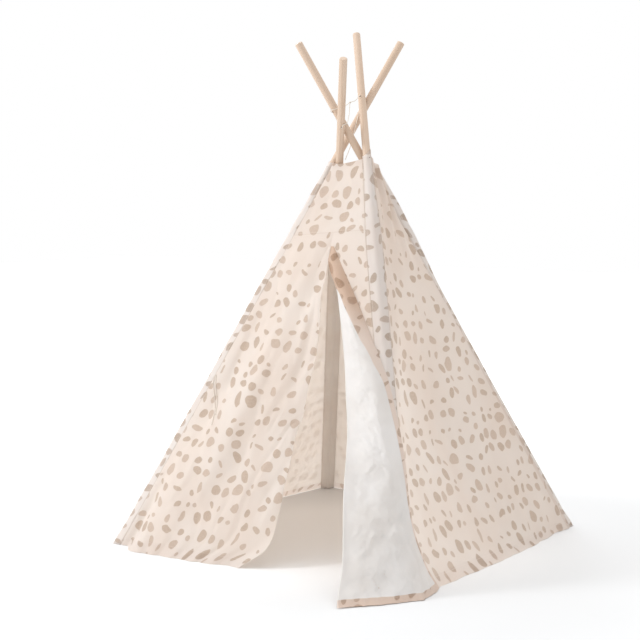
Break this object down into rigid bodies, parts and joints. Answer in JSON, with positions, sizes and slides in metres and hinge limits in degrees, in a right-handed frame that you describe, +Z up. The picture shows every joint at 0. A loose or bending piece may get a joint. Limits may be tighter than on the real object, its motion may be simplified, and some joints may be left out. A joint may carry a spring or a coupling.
{
  "type": "kids teepee",
  "caption": "Child's play teepee: wooden poles crossed through a cord lashing, in the corner sleeves of a printed cotton cover with a slit door and two flaps.",
  "frame": {"origin": "middle of the footprint, on the floor", "axes": "+Z up, -Y out of the door, +X to the right of someone who looks at the door"},
  "size_m": [1.1308, 1.2669, 1.6005],
  "materials": {
    "pole_wood": "bare, fine sanded",
    "ferrule_steel": "zinc plated",
    "printed_cotton": "matt woven canvas with scattered spots",
    "white_lining": "matt plain weave",
    "cotton_cord": "matt twisted cord"
  },
  "bodies": {
    "cover": {"door_header": "printed_cotton", "door_left_panel": "printed_cotton", "door_right_panel": "printed_cotton", "door_right_flap_inner": "printed_cotton", "right_side_panel": "printed_cotton", "back_panel": "printed_cotton", "left_side_panel": "printed_cotton", "lashing_knot": "cotton_cord", "lashing_cord_back_right": "cotton_cord", "lashing_cord_back_left": "cotton_cord", "lashing_cord_front": "cotton_cord", "left_tie_long": "cotton_cord", "left_tie_short": "cotton_cord"},
    "pole_front_left": {"pole_lower_front_left": "pole_wood", "pole_upper_front_left": "pole_wood", "ferrule_front_left": "ferrule_steel", "sleeve_front_left": "printed_cotton"},
    "pole_front_right": {"pole_lower_front_right": "pole_wood", "pole_upper_front_right": "pole_wood", "ferrule_front_right": "ferrule_steel", "sleeve_front_right": "printed_cotton"},
    "pole_back_right": {"pole_lower_back_right": "pole_wood", "pole_upper_back_right": "pole_wood", "ferrule_back_right": "ferrule_steel", "sleeve_back_right": "printed_cotton"},
    "pole_back_left": {"pole_lower_back_left": "pole_wood", "pole_upper_back_left": "pole_wood", "ferrule_back_left": "ferrule_steel", "sleeve_back_left": "printed_cotton"},
    "flap_left": {"door_left_flap": "printed_cotton"},
    "flap_right": {"door_right_flap_turned_back": "white_lining"}
  },
  "joints": [
    {"name": "fold_poles", "type": "hinge", "parent": "cover", "child": "pole_front_left", "pos_m": [-0.07227, 0.00735, 1.17], "axis": [0.703, -0.7112, 0], "range_deg": [0, 27.5], "deforming": ["lashing_cord_back_right", "lashing_cord_back_left", "lashing_cord_front"]},
    {"name": "fold_front_right", "type": "hinge", "parent": "cover", "child": "pole_front_right", "pos_m": [0.08595, -0.01695, 1.17], "axis": [0.7163, 0.6978, 0], "range_deg": [0, 25.5]},
    {"name": "fold_back_right", "type": "hinge", "parent": "cover", "child": "pole_back_right", "pos_m": [0.05247, 0.03219, 1.17], "axis": [-0.7993, 0.601, 0], "range_deg": [0, 28.5]},
    {"name": "fold_back_left", "type": "hinge", "parent": "cover", "child": "pole_back_left", "pos_m": [-0.03798, 0.00654, 1.17], "axis": [-0.7803, -0.6254, 0], "range_deg": [0, 31.7]},
    {"name": "swing_left_flap", "type": "hinge", "parent": "cover", "child": "flap_left", "pos_m": [0.0175, -0.10761, 0.93744], "axis": [-0.3797, -0.3659, -0.8496], "range_deg": [0, 120]},
    {"name": "swing_right_flap", "type": "hinge", "parent": "cover", "child": "flap_right", "pos_m": [0.02102, -0.1086, 0.93744], "axis": [0.3399, -0.454, -0.8236], "range_deg": [0, 150]}
  ],
  "couplings": [
    {"joint": "fold_front_right", "follows": "fold_poles", "ratio": 0.92252},
    {"joint": "fold_back_right", "follows": "fold_poles", "ratio": 1.0342},
    {"joint": "fold_back_left", "follows": "fold_poles", "ratio": 1.1479}
  ]
}
